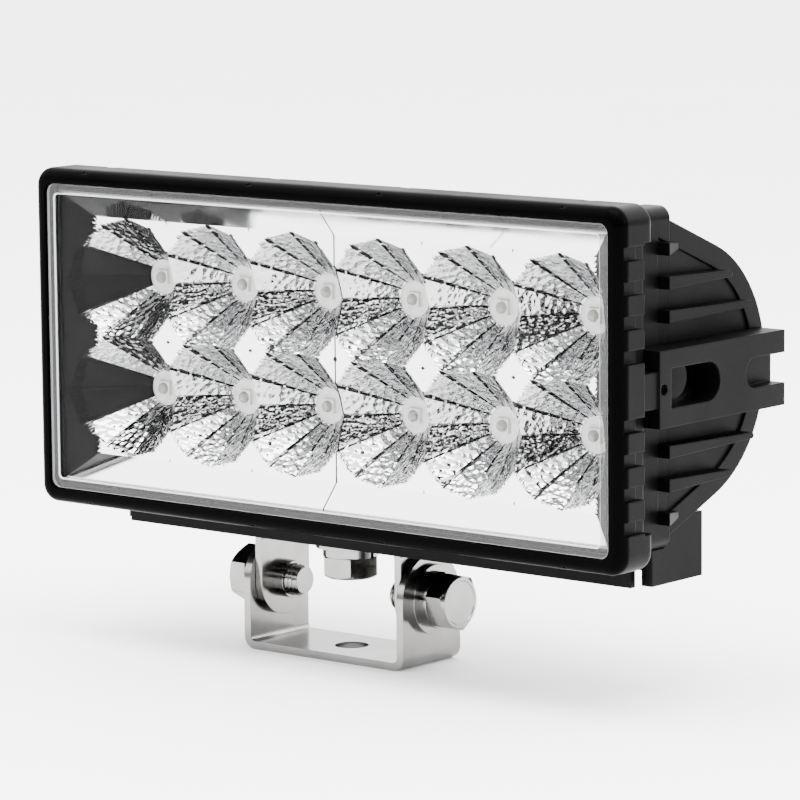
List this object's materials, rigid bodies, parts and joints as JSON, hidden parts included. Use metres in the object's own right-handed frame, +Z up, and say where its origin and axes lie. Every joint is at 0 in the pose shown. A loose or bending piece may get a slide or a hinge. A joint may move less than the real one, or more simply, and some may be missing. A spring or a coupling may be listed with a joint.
{
  "type": "fog light",
  "caption": "Rectangular double-row LED fog light with a finned housing, side lugs, and a bracket that slides in a rail and tilts.",
  "frame": {"origin": "centre of the base bracket's bolt hole, on the bracket's underside", "axes": "+X along the bar, to the right seen from in front; the lens faces -Y; +Z up"},
  "size_m": [0.182, 0.0661, 0.1188],
  "materials": {
    "black_cast": "die-cast aluminium with a black powder coat, semi-matt",
    "bezel_black": "die-cast aluminium with a black powder coat, semi-gloss",
    "clear_cover": "clear polycarbonate, hard coated",
    "metallised": "vacuum metallised plastic, pebbled cups",
    "seal_rubber": "silicone rubber",
    "board": "aluminium-core circuit board, white solder mask",
    "led_ceramic": "ceramic package",
    "led_dome": "clear silicone dome over yellow phosphor",
    "thermal_pad": "soft thermal pad",
    "screw_steel": "stainless, as rolled",
    "green_board": "green circuit board",
    "ferrite": "ferrite core",
    "can": "aluminium can",
    "chip": "black epoxy",
    "lead_red": "insulated wire",
    "copper": "tinned copper link",
    "gland_nylon": "black nylon",
    "stainless_sheet": "stainless sheet, lightly polished",
    "stainless_bolt": "stainless, cold formed"
  },
  "bodies": {
    "base": {"lower_bracket": "stainless_sheet", "side_bolts": "stainless_bolt", "side_flat_washers": "stainless_bolt", "side_spring_washers": "stainless_bolt"},
    "yoke": {"upper_bracket": "stainless_sheet", "clinch_nuts": "stainless_bolt", "clamp_bolt": "stainless_bolt", "clamp_flat_washer": "stainless_bolt", "clamp_spring_washer": "stainless_bolt", "slot_nut": "stainless_bolt"},
    "lamp": {"housing": "black_cast", "driver_housing": "black_cast", "fins": "black_cast", "end_plates": "black_cast", "side_ribs": "black_cast", "side_lugs": "black_cast", "rail": "black_cast", "front_bezel": "bezel_black", "bezel_screws": "screw_steel", "lens": "clear_cover", "lens_gasket": "seal_rubber", "reflector_left": "metallised", "reflector_right": "metallised", "led_board_left": "board", "led_board_right": "board", "thermal_pad_left": "thermal_pad", "thermal_pad_right": "thermal_pad", "led_packages_left": "led_ceramic", "led_packages_right": "led_ceramic", "led_domes_left": "led_dome", "led_domes_right": "led_dome", "board_screws": "screw_steel", "board_links": "copper", "driver_board": "green_board", "driver_screws": "screw_steel", "driver_inductor": "ferrite", "driver_capacitors": "can", "driver_chips": "chip", "driver_leads": "lead_red", "gland_body": "gland_nylon", "gland_seal": "seal_rubber", "gland_nut": "gland_nylon", "breather_valve": "gland_nylon"}
  },
  "joints": [
    {"name": "tilt", "type": "hinge", "parent": "base", "child": "yoke", "pos_m": [0, 0, 0.0165], "axis": [1, 0, 0], "range_deg": [-60, 55]},
    {"name": "rail_slide", "type": "slide", "parent": "yoke", "child": "lamp", "axis": [1, 0, 0], "range_m": [-0.07, 0.04]}
  ]
}
